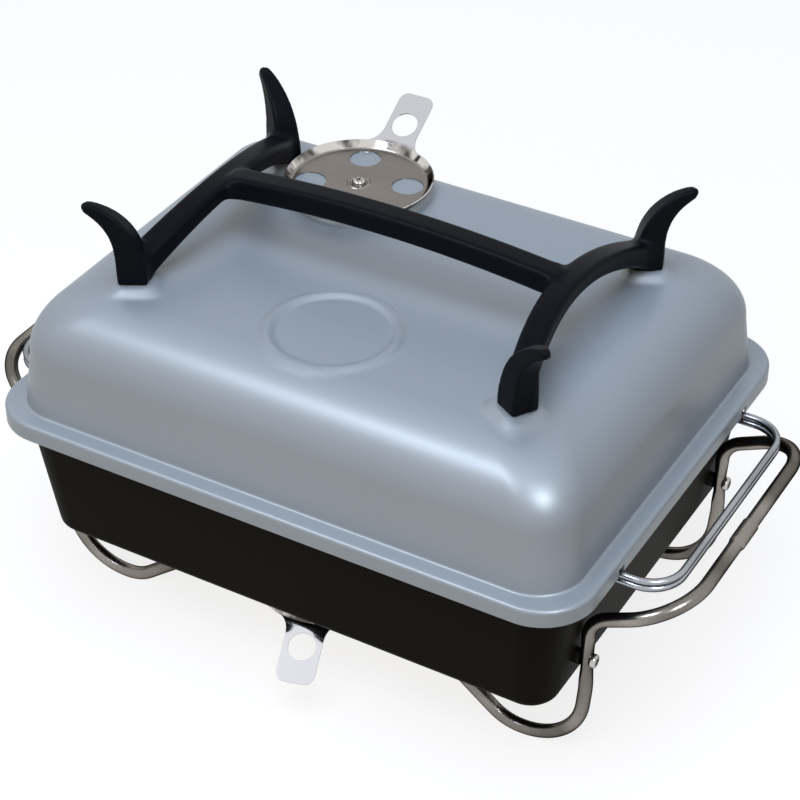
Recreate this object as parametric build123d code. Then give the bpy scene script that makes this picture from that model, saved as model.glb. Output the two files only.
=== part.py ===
from build123d import *
import os
from math import cos, hypot, radians, sin, tan

# Portable charcoal grill: a drawn steel bowl on two bent-tube legs that are also its carrying handles,
# two cooking grids, a charcoal grate, and a deep lift-off lid with a moulded handle and a rotating vent.
# Millimetres. The origin is on the ground under the middle of the bowl. X runs along the long side,
# the front long side faces -Y and Z is up.

# Heights above the ground
lip_height = 162.0             # lower edge of the lid's turned-down lip
lip_depth = 12.9               # from that edge up to the top of the lid's flange
bowl_depth = 111.5             # from the bowl's flange down to the underside of its floor
dome_height = 85.6             # from the lid's flange to its flat top

# Lid pressing
lid_length = 460.0
lid_width = 354.0
lid_corner = 40.0
lid_sheet = 1.2
lid_edge_round = 2.8           # between the flange and the lip
flange_width = 13.0            # flat band between the lip and the dome
dome_draft = 5.5               # degrees
dome_shoulder = 44.0           # radius between the dome's walls and its top
dome_base_corner = 34.0        # plan radius at the corners of the dome's foot
dome_top_corner = 36.0         # plan radius at the corners of the flat top
pad_height = 5.1               # raised pad under each foot of the handle
pad_side = 22.5                # flat top of a pad
pad_slope = 9.0                # how far its sides run out
seal_ring_radius = 47.0        # plain pressed ring in the lid's front half
seal_ring_inset = 99.0         # its middle, in from the lid's front edge
seal_ring_rise = 1.2
seal_ring_section = 5.0

# Bowl pressing
bowl_sheet = 1.2
bowl_draft = 7.4               # degrees
bowl_mouth_corner = 30.0
bowl_floor_corner = 21.0
bowl_floor_round = 8.0
bowl_flange_width = 10.0
bowl_hem = 13.0                # turned-down edge of the flange, a little below the lid's lip
bowl_flange_round = 3.0
lid_side_gap = 1.8             # between the bowl's flange and the lid's lip

# Leg and handle tubes. An end inset runs in from the end of the lid along X, an overhang runs out from it,
# and a side inset runs in from the lid's long side along Y.
tube_diameter = 10.0
tube_wall = 1.0
leg_side_inset = 67.0          # plane of each foot
leg_end_inset = 15.8           # upright part of the tube at its screw
leg_low_inset = 20.5           # foot of the upright, which leans a little
leg_knee_drop = 100.0          # where the lean ends, below the lip
leg_knee_radius = 60.0
foot_inner_inset = 75.0        # where the foot starts to climb back towards the floor
foot_end_inset = 164.0         # inner end of the tube, under the floor
foot_end_flat = 22.0           # straight part that bears on the floor
foot_outer_radius = 45.0
foot_inner_radius = 34.0
foot_end_radius = 14.0
leg_screw_drop = 73.0          # leg screw below the lip
leg_bend_drop = 39.0           # where the tube bends outwards, below the lip
leg_bend_radius = 21.0
handle_overhang = 48.5         # handle bar
handle_drop = 10.0             # handle bar below the lip
handle_corner_radius = 40.0
flat_thickness = 8.0           # flattened part of the tube at the screw
flat_width = 12.2
flat_half_length = 7.0
flat_blend = 12.0
socket_length = 26.0           # widened end that takes the other half of the handle
socket_wall = 0.8
socket_clearance = 0.1
socket_cone = 4.0
insert_length = 19.0

# Grids and grate
grid_wire = 5.0                # handle loops
grid_frame_wire = 4.6
grid_bar = 3.5
grid_end_inset = 27.0
grid_side_inset = 27.0
grid_pitch = 15.5
grid_corner = 26.0
grid_drop = 5.4                # lower cooking grid's plane below the lip
grid_stack_gap = 0.3
grid_handle_overhang = 33.5
grid_handle_side_inset = 77.0
grid_handle_corner = 24.0
grate_end_inset = 42.0
grate_side_inset = 49.0
grate_height = 30.0            # above the floor of the bowl
grate_wire = 5.0
grate_leg_wire = 4.2
grate_leg_sink = 0.8           # how far a leg ends above the middle of the frame wire
grate_bar = 4.0
grate_pitch = 16.5
grate_corner = 20.0
wire_notch_clearance = 1.0
lip_notch_width = 8.0
lip_notch_height = 6.0
notch_seat_gap = 0.3

# Dampers
damper_sheet = 1.0
damper_floor_radius = 50.5
damper_rim_radius = 55.5
damper_rim_height = 6.5
vent_count = 4
vent_diameter = 23.5
vent_circle = 36.0
vent_turn = 22.0               # degrees from the tab to the nearest vent of the damper
tab_width = 28.0
tab_neck = 4.0                 # how much wider the tab is on each side where it leaves the rim
tab_length = 44.0
tab_tilt = 31.0                # degrees
tab_hole = 20.0
tab_hole_place = 17.0          # from the rim to the middle of the hole
tab_corner = 6.0
top_damper_end_inset = 150.5
top_damper_side_inset = 87.5
top_damper_turn = 91.0         # direction of the tab in plan, degrees
top_seat_height = 4.5          # pressed seat in the lid under the damper
top_seat_radius = 49.0
bottom_damper_side_inset = 88.0
bottom_damper_turn = -75.0
bottom_shut_turn = -90.0       # tab direction at which the bottom vents are shut

# Moulded lid handle
foot_end_place = 81.5          # middle of each foot, in from the lid's end
foot_side_place = 80.5         # and in from its long side
foot_turn = 30.0               # plan angle of the feet and horns, degrees
arm_end_inset = 95.0           # middle of the arm's bow
arm_width = 19.0
arm_top = 142.5                # heights above the lip, at the middle and at the feet
arm_bottom = 129.5
arm_top_fall = 22.0
arm_bottom_fall = 29.5
crossbar_width = 19.0
crossbar_top = 152.0
crossbar_bottom = 135.0
crossbar_fall_top = 8.0
crossbar_fall_bottom = 9.0
handle_round = 3.5

# Fasteners
screw_diameter = 5.0
screw_clearance = 0.25
pivot_clearance = 0.05
head_diameter = 10.0
head_height = 3.2
recess_width = 1.3             # cross recess in a screw head
recess_span = 5.6
recess_depth = 1.6
washer_diameter = 11.0
washer_thickness = 1.0
nut_flats = 8.0
nut_height = 4.0
thread_show = 1.5              # screw end that shows past its nut
handle_screw_grip = 12.0       # how far a handle screw goes into its foot
stack_gap = 0.05

# Values worked out from those above
flange_top = lip_height + lip_depth
flange_under = flange_top - lid_sheet
floor_under = flange_under - bowl_depth
floor_top = floor_under + bowl_sheet
dome_top = flange_top + dome_height
dome_length = lid_length - 2 * flange_width
dome_width = lid_width - 2 * flange_width
pad_top = dome_top + pad_height
half_length = lid_length / 2
half_width = lid_width / 2
bowl_slope = tan(radians(bowl_draft))
mouth_length = lid_length - 2 * (lid_sheet + lid_side_gap + bowl_flange_width)
mouth_width = lid_width - 2 * (lid_sheet + lid_side_gap + bowl_flange_width)
leg_half_spacing = half_width - leg_side_inset
leg_stand = half_length - leg_end_inset
leg_low_stand = half_length - leg_low_inset
foot_inner = half_length - foot_inner_inset
foot_end = half_length - foot_end_inset
handle_reach = half_length + handle_overhang
grid_half_length = half_length - grid_end_inset
grid_half_width = half_width - grid_side_inset
grid_handle_reach = half_length + grid_handle_overhang
grid_handle_half = half_width - grid_handle_side_inset
grate_half_length = half_length - grate_end_inset
grate_half_width = half_width - grate_side_inset
top_damper_x = top_damper_end_inset - half_length
top_damper_y = half_width - top_damper_side_inset
bottom_damper_y = bottom_damper_side_inset - half_width
foot_x = half_length - foot_end_place
foot_y = half_width - foot_side_place
arm_middle_x = half_length - arm_end_inset
tube_radius = tube_diameter / 2
lower_grid_z = lip_height - grid_drop
upper_grid_z = lower_grid_z + grid_wire + grid_stack_gap
grate_z = floor_top + grate_height
top_damper_z = dome_top + top_seat_height
leg_screw_z = lip_height - leg_screw_drop


def rounded(length, width, radius, z):
    """Flat rounded rectangle, centred on the Z axis at height z."""
    return Pos(0, 0, z) * RectangleRounded(length, width, radius)


def bar_z(radius, bottom, top, x, y):
    """Upright cylinder at (x, y) from height bottom to height top."""
    return Pos(x, y, (bottom + top) / 2) * Cylinder(radius, top - bottom)


def bar_x(radius, start, end, y, z):
    """Cylinder along X from start to end."""
    return Pos((start + end) / 2, y, z) * Rot(0, 90, 0) * Cylinder(radius, abs(end - start))


def bar_y(radius, start, end, x, z):
    """Cylinder along Y from start to end."""
    return Pos(x, (start + end) / 2, z) * Rot(90, 0, 0) * Cylinder(radius, abs(end - start))


def swept(path, radius):
    """Round rod of the given radius along a path."""
    return sweep(Plane(origin=path @ 0, z_dir=path % 0) * Circle(radius), path=path)


def plan_points():
    """The four sign pairs of the feet and legs, front first."""
    return [(sx, sy) for sy in (-1, 1) for sx in (-1, 1)]


def bowl_inside_x(z):
    """Inner face of the bowl's end wall at height z."""
    return mouth_length / 2 - bowl_sheet - (flange_under - z) * bowl_slope * bowl_depth / (bowl_depth - bowl_sheet)


# Bowl
def bowl_body(inset):
    """Tapered pan with a rounded floor edge, drawn in by inset on every side."""
    taper = 2 * bowl_depth * bowl_slope
    floor = rounded(mouth_length - taper - 2 * inset, mouth_width - taper - 2 * inset,
                    bowl_floor_corner - inset, floor_under + inset)
    mouth = rounded(mouth_length - 2 * inset, mouth_width - 2 * inset, bowl_mouth_corner - inset, flange_under)
    pan = loft([floor, mouth], ruled=True)
    return fillet(pan.edges().group_by(Axis.Z)[0], bowl_floor_round - inset)


def vent_ring(x, y, turn, radius, bottom, top):
    """The vent openings of a damper or of the sheet under it."""
    places = [turn + k * 360 / vent_count for k in range(vent_count)]
    return [bar_z(radius, bottom, top, x + vent_circle * cos(radians(a)), y + vent_circle * sin(radians(a)))
            for a in places]


def make_bowl():
    flange_length = mouth_length + 2 * bowl_flange_width
    flange_breadth = mouth_width + 2 * bowl_flange_width
    corner = bowl_mouth_corner + bowl_flange_width
    rim = extrude(rounded(flange_length, flange_breadth, corner, flange_under - bowl_hem), bowl_hem)
    rim = fillet(rim.edges().group_by(Axis.Z)[-1], bowl_flange_round)
    under = extrude(rounded(flange_length - 2 * bowl_sheet, flange_breadth - 2 * bowl_sheet,
                            corner - bowl_sheet, flange_under - bowl_hem), bowl_hem - bowl_sheet)
    under = fillet(under.edges().group_by(Axis.Z)[-1], bowl_flange_round - bowl_sheet)
    bowl = (rim - under) + bowl_body(0)
    bowl -= bowl_body(bowl_sheet)
    half_notch = grid_wire / 2 + wire_notch_clearance
    seat = lower_grid_z - grid_wire / 2 - notch_seat_gap
    for sx, sy in plan_points():
        y = sy * grid_handle_half
        notch = bar_x(half_notch, sx * grid_half_length, sx * lid_length / 2, y, seat + half_notch)
        notch += Pos(sx * (grid_half_length + lid_length / 2) / 2, y, (seat + half_notch + flange_top) / 2) * Box(
            lid_length / 2 - grid_half_length, 2 * half_notch, flange_top - seat - half_notch)
        bowl -= notch
        bowl -= bar_x(screw_diameter / 2 + screw_clearance, sx * foot_x, sx * leg_stand,
                      sy * leg_half_spacing, leg_screw_z)
    shut = bottom_shut_turn + vent_turn + 180 / vent_count
    for hole in vent_ring(0, bottom_damper_y, shut, vent_diameter / 2, floor_under - 1, floor_top + 1):
        bowl -= hole
    bowl -= bar_z(screw_diameter / 2 + screw_clearance, floor_under - 1, floor_top + 1, 0, bottom_damper_y)
    return bowl


# Lid
def dome_body(inset):
    """The dome: near-upright walls, then a shoulder whose sections follow a quarter circle in height."""
    shoulder_z = dome_top - dome_shoulder
    base_z = flange_under
    drawn = tan(radians(dome_draft)) * (shoulder_z - flange_top)
    base = rounded(dome_length - 2 * inset, dome_width - 2 * inset, dome_base_corner - inset, base_z)
    sections = []
    radius = dome_shoulder - inset
    for turn in (0, 22.5, 45, 67.5, 90):
        run_in = 1 - cos(radians(turn))
        side = inset + drawn + radius * run_in
        corner = dome_base_corner - inset + (dome_top_corner - dome_base_corner + inset) * run_in
        sections.append(rounded(dome_length - 2 * side, dome_width - 2 * side, corner,
                                shoulder_z + radius * sin(radians(turn))))
    return loft([base, sections[0]], ruled=True) + loft(sections)


def pad_body(inset, sx, sy):
    """Raised square pad with sloping sides that carries one foot of the handle."""
    turn = Rot(0, 0, sx * sy * foot_turn)
    place = Pos(sx * foot_x, sy * foot_y, 0)
    low = dome_top - inset
    sunk = pad_slope * 0.3
    wide = pad_side + 2 * (pad_slope + sunk) - 2 * inset
    base = Pos(0, 0, low - pad_height * 0.3) * RectangleRounded(wide, wide, wide * 0.3)
    top = Pos(0, 0, low + pad_height) * RectangleRounded(pad_side - 2 * inset, pad_side - 2 * inset, pad_side * 0.2)
    return place * turn * loft([base, top], ruled=True)


def seat_body(inset):
    """Low round seat pressed up under the top damper."""
    base = dome_top - inset - top_seat_height / 2
    radius = top_seat_radius - inset
    return Pos(top_damper_x, top_damper_y, base) * Cone(
        radius + 1.5 * top_seat_height, radius, 1.5 * top_seat_height, align=(Align.CENTER, Align.CENTER, Align.MIN))


def ring_body(inset):
    """Plain pressed ring in the front half of the lid."""
    centre = dome_top - inset + seal_ring_rise - seal_ring_section
    return Pos(0, seal_ring_inset - half_width, centre) * Torus(seal_ring_radius, seal_ring_section)


def make_lid():
    plate = extrude(rounded(lid_length, lid_width, lid_corner, lip_height), lip_depth)
    plate = fillet(plate.edges().group_by(Axis.Z)[-1], lid_edge_round)
    hollow = extrude(rounded(lid_length - 2 * lid_sheet, lid_width - 2 * lid_sheet, lid_corner - lid_sheet,
                             lip_height), lip_depth - lid_sheet)
    hollow = fillet(hollow.edges().group_by(Axis.Z)[-1], lid_edge_round - lid_sheet)
    outer = plate + dome_body(0) + seat_body(0) + ring_body(0)
    inner = hollow + dome_body(lid_sheet) + seat_body(lid_sheet) + ring_body(lid_sheet)
    for sx, sy in plan_points():
        outer += pad_body(0, sx, sy)
        inner += pad_body(lid_sheet, sx, sy)
    lid = outer - inner
    open_turn = top_damper_turn + vent_turn + 180 / vent_count
    low, high = dome_top - 2 * lid_sheet, pad_top + 1
    for hole in vent_ring(top_damper_x, top_damper_y, open_turn, vent_diameter / 2, low, high):
        lid -= hole
    hole_radius = screw_diameter / 2 + screw_clearance
    lid -= bar_z(hole_radius, low, high, top_damper_x, top_damper_y)
    for sx, sy in plan_points():
        lid -= bar_z(hole_radius, low, high, sx * foot_x, sy * foot_y)
        lid -= Pos(sx * lid_length / 2, sy * grid_handle_half, lip_height) * Box(
            4 * lid_sheet, lip_notch_width, 2 * lip_notch_height)
    return lid


# Lid handle
def arm_section(y, side):
    """Cross-section of one curved arm at distance y from the middle."""
    share = abs(y) / foot_y
    top = lip_height + arm_top - arm_top_fall * share ** 2
    bottom = max(pad_top, lip_height + arm_bottom - arm_bottom_fall * share ** 2)
    x = side * (arm_middle_x + (foot_x - arm_middle_x) * share ** 2)
    plane = Plane(origin=(x, y, (top + bottom) / 2), x_dir=(1, 0, 0), z_dir=(0, 1, 0))
    return plane * RectangleRounded(arm_width, top - bottom, handle_round)


def crossbar_section(x):
    """Cross-section of the arched bar at distance x from the middle."""
    share = abs(x) / arm_middle_x
    top = lip_height + crossbar_top - crossbar_fall_top * share ** 2
    bottom = lip_height + crossbar_bottom - crossbar_fall_bottom * share ** 2
    plane = Plane(origin=(x, 0, (top + bottom) / 2), x_dir=(0, 1, 0), z_dir=(1, 0, 0))
    return plane * RectangleRounded(crossbar_width, top - bottom, handle_round)


# Each horn section: reach along the horn's plan direction, height above the foot, lean from upright
# in degrees, thickness in the plane of the lean and width across it.
horn_sections = [
    (1.0, 0.0, 0.0, 20.5, 20.5),
    (2.2, 14.5, 4.0, 20.0, 19.5),
    (4.8, 27.5, 14.0, 18.0, 18.0),
    (10.2, 38.0, 31.0, 14.0, 15.5),
    (18.2, 46.4, 47.0, 11.5, 12.5),
    (26.5, 52.0, 59.0, 8.5, 9.5),
    (32.5, 54.8, 66.0, 5.0, 6.5),
]


def make_horn(sx, sy):
    """Foot and horn in one: a square column that leans outwards and tapers to a blunt tip."""
    out = (sx * cos(radians(foot_turn)), sy * sin(radians(foot_turn)))
    across = (-out[1], out[0], 0)
    sections = []
    for reach, height, lean, thick, wide in horn_sections:
        rise = (sin(radians(lean)) * out[0], sin(radians(lean)) * out[1], cos(radians(lean)))
        origin = (sx * foot_x + reach * out[0], sy * foot_y + reach * out[1], pad_top + height)
        plane = Plane(origin=origin, x_dir=across, z_dir=rise)
        sections.append(plane * RectangleRounded(wide, thick, min(wide, thick) * 0.2))
    return loft(sections)


def make_lid_handle():
    crossbar = loft([crossbar_section(arm_middle_x * k / 3) for k in range(-3, 4)])
    handle = crossbar
    for side in (-1, 1):
        handle += loft([arm_section(foot_y * k / 4, side) for k in range(-4, 5)])
    for sx, sy in plan_points():
        handle += make_horn(sx, sy)
    for sx, sy in plan_points():
        handle -= bar_z(screw_diameter / 2 + screw_clearance, pad_top - 1, pad_top + handle_screw_grip + 1,
                        sx * foot_x, sy * foot_y)
    return handle


# Dampers
def make_damper():
    """Dished disc with a flared rim, four vents and a tilted tab, its pivot on the Z axis and its tab along +X."""
    floor = Cylinder(damper_floor_radius, damper_sheet, align=(Align.CENTER, Align.CENTER, Align.MIN))
    flare = (damper_rim_radius - damper_floor_radius) / damper_rim_height
    shift = damper_sheet * hypot(1, flare)
    with_rim = Polyline((damper_floor_radius - shift, 0), (damper_floor_radius, 0),
                        (damper_rim_radius, damper_rim_height), (damper_rim_radius - shift, damper_rim_height),
                        (damper_floor_radius - shift, 0))
    rim = revolve(Plane.XZ * make_face(with_rim), Axis.Z)
    start = -shift / 2
    side = tab_width / 2
    tab = Pos((tab_length + start) / 2, 0) * RectangleRounded(tab_length - start, tab_width, tab_corner)
    root = (-1.75 * tab_neck, side + tab_neck)
    back = -2.5 * tab_neck
    neck = make_face([TangentArc((tab_neck, side), root, tangent=(-1, 0)),
                      Polyline(root, (back, root[1]), (back, -root[1]), (root[0], -root[1])),
                      TangentArc((tab_neck, -side), (root[0], -root[1]), tangent=(-1, 0)),
                      Line((tab_neck, -side), (tab_neck, side))])
    plate = extrude(tab + neck, damper_sheet)
    plate -= Pos(tab_hole_place, 0, 0) * Cylinder(tab_hole / 2, 4 * damper_sheet)
    plate = Pos(damper_rim_radius - shift / 2, 0, damper_rim_height - damper_sheet) * Rot(0, -tab_tilt, 0) * plate
    above = damper_rim_height + 3 * damper_sheet
    inside = Pos(0, 0, damper_sheet) * Cone(
        damper_floor_radius - shift + flare * damper_sheet,
        damper_floor_radius - shift + flare * (damper_sheet + above), above,
        align=(Align.CENTER, Align.CENTER, Align.MIN))
    damper = floor + rim + (plate - inside)
    for hole in vent_ring(0, 0, vent_turn, vent_diameter / 2, -1, 2 * damper_sheet):
        damper -= hole
    return damper - Cylinder(screw_diameter / 2 + pivot_clearance, 4 * damper_sheet)


# Legs
def leg_tube_half(end_y, radius_cut):
    """Right front tube as a solid rod, its radius drawn in by radius_cut, ending at y = end_y in the handle bar."""
    radius = tube_radius - radius_cut
    y = -leg_half_spacing
    ground_line = tube_radius
    flat_z = leg_screw_z
    end_z = floor_under - tube_radius
    bend_z = lip_height - leg_bend_drop
    bar_height = lip_height - handle_drop
    low_end = (leg_stand, y, flat_z - flat_half_length - flat_blend)
    high_end = (leg_stand, y, flat_z + flat_half_length + flat_blend)
    foot = FilletPolyline((foot_end, y, end_z), (foot_end + foot_end_flat, y, end_z), (foot_inner, y, ground_line),
                          (leg_low_stand, y, ground_line), (leg_stand, y, lip_height - leg_knee_drop), low_end,
                          radius=[foot_end_radius, foot_inner_radius, foot_outer_radius, leg_knee_radius])
    handle = FilletPolyline(high_end, (leg_stand, y, bend_z), (handle_reach, y, bar_height),
                            (handle_reach, end_y, bar_height), radius=[leg_bend_radius, handle_corner_radius])
    round_low = Pos(*low_end) * Circle(radius)
    round_high = Pos(*high_end) * Circle(radius)
    flat_low = Pos(leg_stand, y, flat_z - flat_half_length) * Ellipse(
        flat_thickness / 2 - radius_cut, flat_width / 2 - radius_cut)
    flat_high = Pos(leg_stand, y, flat_z + flat_half_length) * Ellipse(
        flat_thickness / 2 - radius_cut, flat_width / 2 - radius_cut)
    flat = loft([round_low, flat_low], ruled=True) + loft([flat_low, flat_high], ruled=True)
    flat += loft([flat_high, round_high], ruled=True)
    return swept(foot, radius) + flat + swept(handle, radius)


def leg_screw_hole():
    return bar_x(screw_diameter / 2 + screw_clearance, leg_stand - flat_width, leg_stand + flat_width,
                 -leg_half_spacing, leg_screw_z)


def make_front_tube():
    """Right front half: foot loop, flattened screw place, handle run and the widened socket in the bar."""
    bar_height = lip_height - handle_drop
    tube = leg_tube_half(-socket_length, 0)
    bore = leg_tube_half(-socket_length, tube_wall)
    socket_bore = tube_radius + socket_clearance
    socket_outer = socket_bore + socket_wall
    cone_place = Pos(handle_reach, -socket_length, bar_height) * Rot(-90, 0, 0)
    low = (Align.CENTER, Align.CENTER, Align.MIN)
    tube += cone_place * Cone(tube_radius, socket_outer, socket_cone, align=low)
    tube += bar_y(socket_outer, -socket_length + socket_cone, 0, handle_reach, bar_height)
    bore += cone_place * Cone(tube_radius - tube_wall, socket_bore, socket_cone, align=low)
    bore += bar_y(socket_bore, -socket_length + socket_cone, 0, handle_reach, bar_height)
    return tube - bore - leg_screw_hole()


def make_plain_tube():
    """Right half with the plain end that slides into the socket, drawn at the front and mirrored to the back."""
    return leg_tube_half(insert_length, 0) - leg_tube_half(insert_length, tube_wall) - leg_screw_hole()


# Grids
def wire_frame(half_length, half_width, corner, radius, z):
    """Closed rounded frame of wire in the plane at height z."""
    loop = Pos(0, 0, z) * RectangleRounded(2 * half_length, 2 * half_width, corner)
    wire = loop.wire()
    start = wire @ 0
    return sweep(Plane(origin=start, z_dir=wire % 0) * Circle(radius), path=wire)


def bars_across(half_length, half_width, pitch, radius, z):
    """Straight bars along Y, evenly spaced, with both ends in the frame."""
    count = int(half_length / pitch)
    return [bar_y(radius, -half_width, half_width, k * pitch, z) for k in range(-count, count + 1)]


def make_grid(z):
    """Welded cooking grid with a wire handle loop at each end."""
    grid = wire_frame(grid_half_length, grid_half_width, grid_corner, grid_frame_wire / 2, z)
    grid += bars_across(grid_half_length - grid_corner / 2, grid_half_width, grid_pitch, grid_bar / 2, z)
    for side in (-1, 1):
        inner = side * grid_half_length
        reach = side * grid_handle_reach
        loop = FilletPolyline((inner, -grid_handle_half, z), (reach, -grid_handle_half, z),
                              (reach, grid_handle_half, z), (inner, grid_handle_half, z),
                              radius=grid_handle_corner)
        grid += swept(loop, grid_wire / 2)
    return grid


def make_grate():
    """Charcoal grate: a smaller frame on four wire legs that stand on the floor."""
    grate = wire_frame(grate_half_length, grate_half_width, grate_corner, grate_wire / 2, grate_z)
    grate += bars_across(grate_half_length - grate_corner / 2, grate_half_width, grate_pitch, grate_bar / 2, grate_z)
    leg_x = (int((grate_half_length - grate_corner) / grate_pitch) - 0.5) * grate_pitch
    for sx, sy in plan_points():
        grate += bar_z(grate_leg_wire / 2, floor_top, grate_z + grate_leg_sink, sx * leg_x, sy * grate_half_width)
    return grate


# Fasteners, each made with its head up and its head's underside at z = 0
def screw(length):
    head = Cylinder(head_diameter / 2, head_height, align=(Align.CENTER, Align.CENTER, Align.MIN))
    head = fillet(head.edges().group_by(Axis.Z)[-1], head_height * 0.6)
    for turn in (0, 90):
        head -= Pos(0, 0, head_height) * Rot(0, 0, turn) * Box(recess_span, recess_width, 2 * recess_depth)
    return head + Cylinder(screw_diameter / 2, length, align=(Align.CENTER, Align.CENTER, Align.MAX))


def washer():
    ring = Circle(washer_diameter / 2) - Circle(screw_diameter / 2 + screw_clearance)
    return extrude(ring, washer_thickness)


def nut():
    hexagon = RegularPolygon(nut_flats / 2, 6, major_radius=False) - Circle(screw_diameter / 2 + stack_gap)
    return extrude(hexagon, nut_height)


parts = {}
parts["bowl"] = make_bowl()
parts["lid"] = make_lid()
parts["lid_handle"] = make_lid_handle()

# Four screws come up through the lid into the feet of the handle, each with a washer under its head.
under_pad = pad_top - lid_sheet
handle_screw_length = lid_sheet + washer_thickness + handle_screw_grip
parts["lid_handle_screws"] = Compound([
    Pos(sx * foot_x, sy * foot_y, under_pad - washer_thickness - stack_gap) * Rot(180, 0, 0)
    * screw(handle_screw_length) for sx, sy in plan_points()])
parts["lid_handle_washers"] = Compound([
    Pos(sx * foot_x, sy * foot_y, under_pad - washer_thickness) * washer() for sx, sy in plan_points()])

# Top damper on its seat, held by a screw from above with a washer and nut inside the lid
pivot_length = damper_sheet + stack_gap + lid_sheet + washer_thickness + nut_height + thread_show
parts["top_damper"] = Pos(top_damper_x, top_damper_y, top_damper_z) * Rot(0, 0, top_damper_turn) * make_damper()
parts["top_damper_screw"] = Pos(top_damper_x, top_damper_y, top_damper_z + damper_sheet + stack_gap) * screw(
    pivot_length)
seat_under = top_damper_z - lid_sheet
parts["top_damper_washer"] = Pos(top_damper_x, top_damper_y, seat_under - washer_thickness) * washer()
parts["top_damper_nut"] = Pos(top_damper_x, top_damper_y, seat_under - washer_thickness - nut_height) * nut()

# Bottom damper under the floor, its rim and tab downwards, held by a screw from below
parts["bottom_damper"] = Pos(0, bottom_damper_y, floor_under) * Rot(0, 0, bottom_damper_turn) * Rot(
    180, 0, 0) * make_damper()
parts["bottom_damper_screw"] = Pos(0, bottom_damper_y, floor_under - damper_sheet - stack_gap) * Rot(
    180, 0, 0) * screw(pivot_length)
parts["bottom_damper_washer"] = Pos(0, bottom_damper_y, floor_top) * washer()
parts["bottom_damper_nut"] = Pos(0, bottom_damper_y, floor_top + washer_thickness) * nut()

# Legs: two halves at each end, all placed from the two drawn at the right front
front_tube = make_front_tube()
plain_tube = make_plain_tube()
parts["leg_tube_right_front"] = front_tube
parts["leg_tube_left_front"] = mirror(front_tube, about=Plane.YZ)
parts["leg_tube_right_back"] = mirror(plain_tube, about=Plane.XZ)
parts["leg_tube_left_back"] = Rot(0, 0, 180) * plain_tube

# One screw holds each tube to the end wall, over a spacer, with a washer and nut inside the bowl.
tube_outer_face = leg_stand + flat_thickness / 2
tube_inner_face = leg_stand - flat_thickness / 2
washer_face = bowl_inside_x(leg_screw_z - washer_diameter / 2) - stack_gap
leg_screw_length = tube_outer_face - washer_face + washer_thickness + nut_height + thread_show
bowl_outside = bowl_body(-stack_gap)
screws, washers, nuts, spacers = [], [], [], []
for sx, sy in plan_points():
    outward = Rot(0, sx * 90, 0)
    y = sy * leg_half_spacing
    screws.append(Pos(sx * tube_outer_face, y, leg_screw_z) * outward * screw(leg_screw_length))
    washers.append(Pos(sx * (washer_face - washer_thickness), y, leg_screw_z) * outward * washer())
    nuts.append(Pos(sx * (washer_face - washer_thickness - nut_height), y, leg_screw_z) * outward * nut())
    tube_gap = bar_x(washer_diameter / 2, sx * washer_face, sx * tube_inner_face, y, leg_screw_z)
    tube_gap -= bar_x(screw_diameter / 2 + screw_clearance, sx * washer_face, sx * tube_outer_face, y, leg_screw_z)
    spacers.append(tube_gap - bowl_outside)
parts["leg_screws"] = Compound(screws)
parts["leg_washers"] = Compound(washers)
parts["leg_nuts"] = Compound(nuts)
parts["leg_spacers"] = Compound([s.solids()[0] for s in spacers])

parts["charcoal_grate"] = make_grate()
parts["lower_cooking_grid"] = make_grid(lower_grid_z)
parts["upper_cooking_grid"] = make_grid(upper_grid_z)

os.makedirs("parts", exist_ok=True)
for name, shape in parts.items():
    export_step(shape, f"parts/{name}.step")
    print(name, len(shape.solids()), round(shape.volume, 1))
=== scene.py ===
import bpy
import numpy as np
from mathutils import Matrix, Vector


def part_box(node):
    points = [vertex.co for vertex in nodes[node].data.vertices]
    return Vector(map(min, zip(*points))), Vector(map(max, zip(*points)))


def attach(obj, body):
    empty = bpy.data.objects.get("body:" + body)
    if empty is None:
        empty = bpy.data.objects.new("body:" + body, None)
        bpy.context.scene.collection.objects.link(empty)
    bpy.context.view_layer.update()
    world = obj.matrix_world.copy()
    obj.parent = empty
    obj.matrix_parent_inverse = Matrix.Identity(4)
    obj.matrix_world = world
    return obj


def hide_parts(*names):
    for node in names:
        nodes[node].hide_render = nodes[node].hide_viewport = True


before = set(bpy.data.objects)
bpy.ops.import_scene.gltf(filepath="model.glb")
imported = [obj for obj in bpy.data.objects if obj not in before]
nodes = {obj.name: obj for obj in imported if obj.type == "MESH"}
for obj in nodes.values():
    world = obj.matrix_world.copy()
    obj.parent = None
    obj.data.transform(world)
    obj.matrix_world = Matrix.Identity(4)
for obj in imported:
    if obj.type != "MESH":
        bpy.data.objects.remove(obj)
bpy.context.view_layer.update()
mm = 0.001

# The photographer's place: a long lens above the right front corner, worked out from the edges of the lid's
# rectangular rim. The camera's own right, up and back directions make its turn.
camera_data = bpy.data.cameras.new("camera")
camera_data.sensor_width = 36.0
camera_data.lens = 103.71
camera_data.clip_start, camera_data.clip_end = 0.05, 60.0
camera = bpy.data.objects.new("camera", camera_data)
bpy.context.scene.collection.objects.link(camera)
azimuth, elevation = np.radians((29.9455, 36.1244))
right = Vector((np.cos(azimuth), np.sin(azimuth), 0.0))
back = Vector((np.sin(azimuth) * np.cos(elevation), -np.cos(azimuth) * np.cos(elevation), np.sin(elevation)))
turn = Matrix((right, back.cross(right), back)).transposed().to_4x4()
camera.matrix_world = Matrix.Translation((0.67441, -1.15885, 1.13324)) @ turn
bpy.context.scene.camera = camera
bpy.context.scene.view_settings.view_transform = "Standard"


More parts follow.
